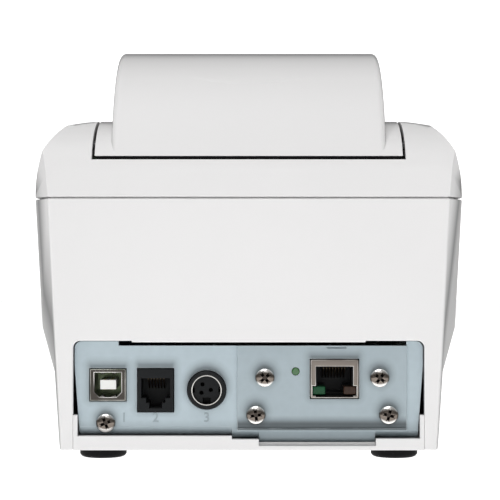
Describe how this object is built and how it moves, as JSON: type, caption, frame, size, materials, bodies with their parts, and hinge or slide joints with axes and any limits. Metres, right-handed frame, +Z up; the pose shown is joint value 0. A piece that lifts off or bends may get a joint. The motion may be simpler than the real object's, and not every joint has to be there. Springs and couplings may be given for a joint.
{
  "type": "desktop thermal printer",
  "caption": "Desktop thermal printer with a hinged roll cover, clamshell platen, print head, guillotine cutter and a rear connector panel with an interface card.",
  "frame": {"origin": "on the table under the middle of the machine", "axes": "+Z up, +Y to the rear with the connector panel, +X to the right seen from the front"},
  "size_m": [0.146, 0.195, 0.1426],
  "materials": {
    "case_white": "fine spark-eroded texture",
    "inner_grey": "moulded satin",
    "rubber_black": "matt",
    "panel_steel": "blue-grey passivated zinc",
    "screw_nickel": "nickel plated",
    "shell_tin": "bright tin plate",
    "tongue_white": "moulded",
    "socket_black": "moulded satin",
    "lamp_green": "clear green",
    "contact_gold": "gold plated",
    "board_green": "solder resist",
    "chip_black": "moulded",
    "can_blue": "printed sleeve",
    "steel": "cold rolled",
    "gear_ivory": "acetal",
    "gear_brass": "machined",
    "flex_amber": "polyimide film",
    "key_grey": "moulded satin",
    "lens_clear": "clear light pipe",
    "ceramic_dark": "glazed strip"
  },
  "bodies": {
    "frame": {"base_tray": "case_white", "feet": "rubber_black", "lower_case": "case_white", "upper_case": "case_white", "front_cover": "case_white", "case_screws": "screw_nickel", "rear_plate": "panel_steel", "card_plate": "panel_steel", "panel_screws": "screw_nickel", "usb_shell": "shell_tin", "usb_tongue": "tongue_white", "drawer_socket": "socket_black", "power_socket": "socket_black", "power_ring": "shell_tin", "power_insert": "socket_black", "network_shell": "shell_tin", "network_insert": "socket_black", "network_lamps": "lamp_green", "network_contacts": "contact_gold", "status_lamp": "lamp_green", "main_board": "board_green", "interface_card": "board_green", "card_header": "socket_black", "board_chips": "chip_black", "board_capacitors": "can_blue", "board_connector": "tongue_white", "paper_hopper": "inner_grey", "paper_guide": "inner_grey", "paper_sensor": "chip_black", "roll_sensor": "chip_black", "mech_frame": "steel", "feed_motor": "steel", "head_springs": "steel", "head_cable": "flex_amber", "cutter_frame": "steel", "cutter_motor": "steel", "tear_bar": "steel", "switch_housing": "socket_black", "panel_board": "board_green", "feed_switch": "chip_black", "lamp_windows": "lens_clear", "hinge_pins": "steel"},
    "cover": {"paper_cover": "case_white", "cover_frame": "inner_grey", "platen_bushes": "gear_ivory", "fixed_blade": "steel"},
    "platen": {"platen_shaft": "steel", "platen_rubber": "rubber_black", "platen_gear": "gear_ivory"},
    "idler": {"idler_gear": "gear_ivory"},
    "motor_rotor": {"motor_pinion": "gear_brass"},
    "head": {"print_head": "steel", "head_strip": "ceramic_dark"},
    "blade": {"moving_blade": "steel"},
    "cutter_drive": {"cutter_shaft": "steel"},
    "cutter_rotor": {"cutter_pinion": "gear_brass"},
    "latch": {"latch_hooks": "steel"},
    "feed_key": {"feed_button": "key_grey"},
    "release_key": {"open_button": "key_grey"},
    "rocker": {"power_rocker": "socket_black"}
  },
  "joints": [
    {"name": "cover_hinge", "type": "hinge", "parent": "frame", "child": "cover", "pos_m": [0, 0.0885, 0.106], "axis": [-1, 0, 0], "range_deg": [0, 100]},
    {"name": "platen_spin", "type": "hinge", "parent": "cover", "child": "platen", "pos_m": [0, -0.028, 0.106], "axis": [1, 0, 0], "continuous": true},
    {"name": "idler_spin", "type": "hinge", "parent": "frame", "child": "idler", "pos_m": [0, -0.03, 0.09712], "axis": [1, 0, 0], "continuous": true},
    {"name": "motor_spin", "type": "hinge", "parent": "frame", "child": "motor_rotor", "pos_m": [0, -0.026, 0.0836], "axis": [1, 0, 0], "continuous": true},
    {"name": "head_tilt", "type": "hinge", "parent": "frame", "child": "head", "pos_m": [0, -0.0379, 0.093], "axis": [1, 0, 0], "range_deg": [0, 3], "stiffness_Nm_per_rad": 0.9, "springref_deg": -6.88, "deforming": ["head_springs"]},
    {"name": "blade_slide", "type": "slide", "parent": "frame", "child": "blade", "axis": [0, 1, 0], "range_m": [0, 0.012]},
    {"name": "cutter_spin", "type": "hinge", "parent": "frame", "child": "cutter_drive", "pos_m": [0, -0.0576, 0.11148], "axis": [-1, 0, 0], "range_deg": [0, 144]},
    {"name": "cutter_motor_spin", "type": "hinge", "parent": "frame", "child": "cutter_rotor", "pos_m": [0, -0.06403, 0.10504], "axis": [-1, 0, 0], "range_deg": [-216, 0]},
    {"name": "latch_release", "type": "hinge", "parent": "frame", "child": "latch", "pos_m": [0, -0.0464, 0.086], "axis": [1, 0, 0], "range_deg": [0, 7], "stiffness_Nm_per_rad": 0.5, "springref_deg": -5.73},
    {"name": "open_press", "type": "slide", "parent": "frame", "child": "release_key", "axis": [0, 0, -1], "range_m": [0, 0.0018]},
    {"name": "feed_press", "type": "slide", "parent": "frame", "child": "feed_key", "axis": [0, 0, -1], "range_m": [0, 0.0008], "stiffness_N_per_m": 600, "springref_m": -0.0005},
    {"name": "power_rock", "type": "hinge", "parent": "frame", "child": "rocker", "pos_m": [-0.045, -0.0936, 0.062], "axis": [0, 0, -1], "range_deg": [0, 20]}
  ],
  "couplings": [
    {"joint": "idler_spin", "follows": "platen_spin", "ratio": -1.5},
    {"joint": "motor_spin", "follows": "platen_spin", "ratio": 5.5},
    {"joint": "cutter_spin", "follows": "blade_slide", "rad_per_m": 208.33},
    {"joint": "cutter_motor_spin", "follows": "blade_slide", "rad_per_m": -312.5},
    {"joint": "open_press", "follows": "latch_release", "m_per_rad": 0.014}
  ]
}
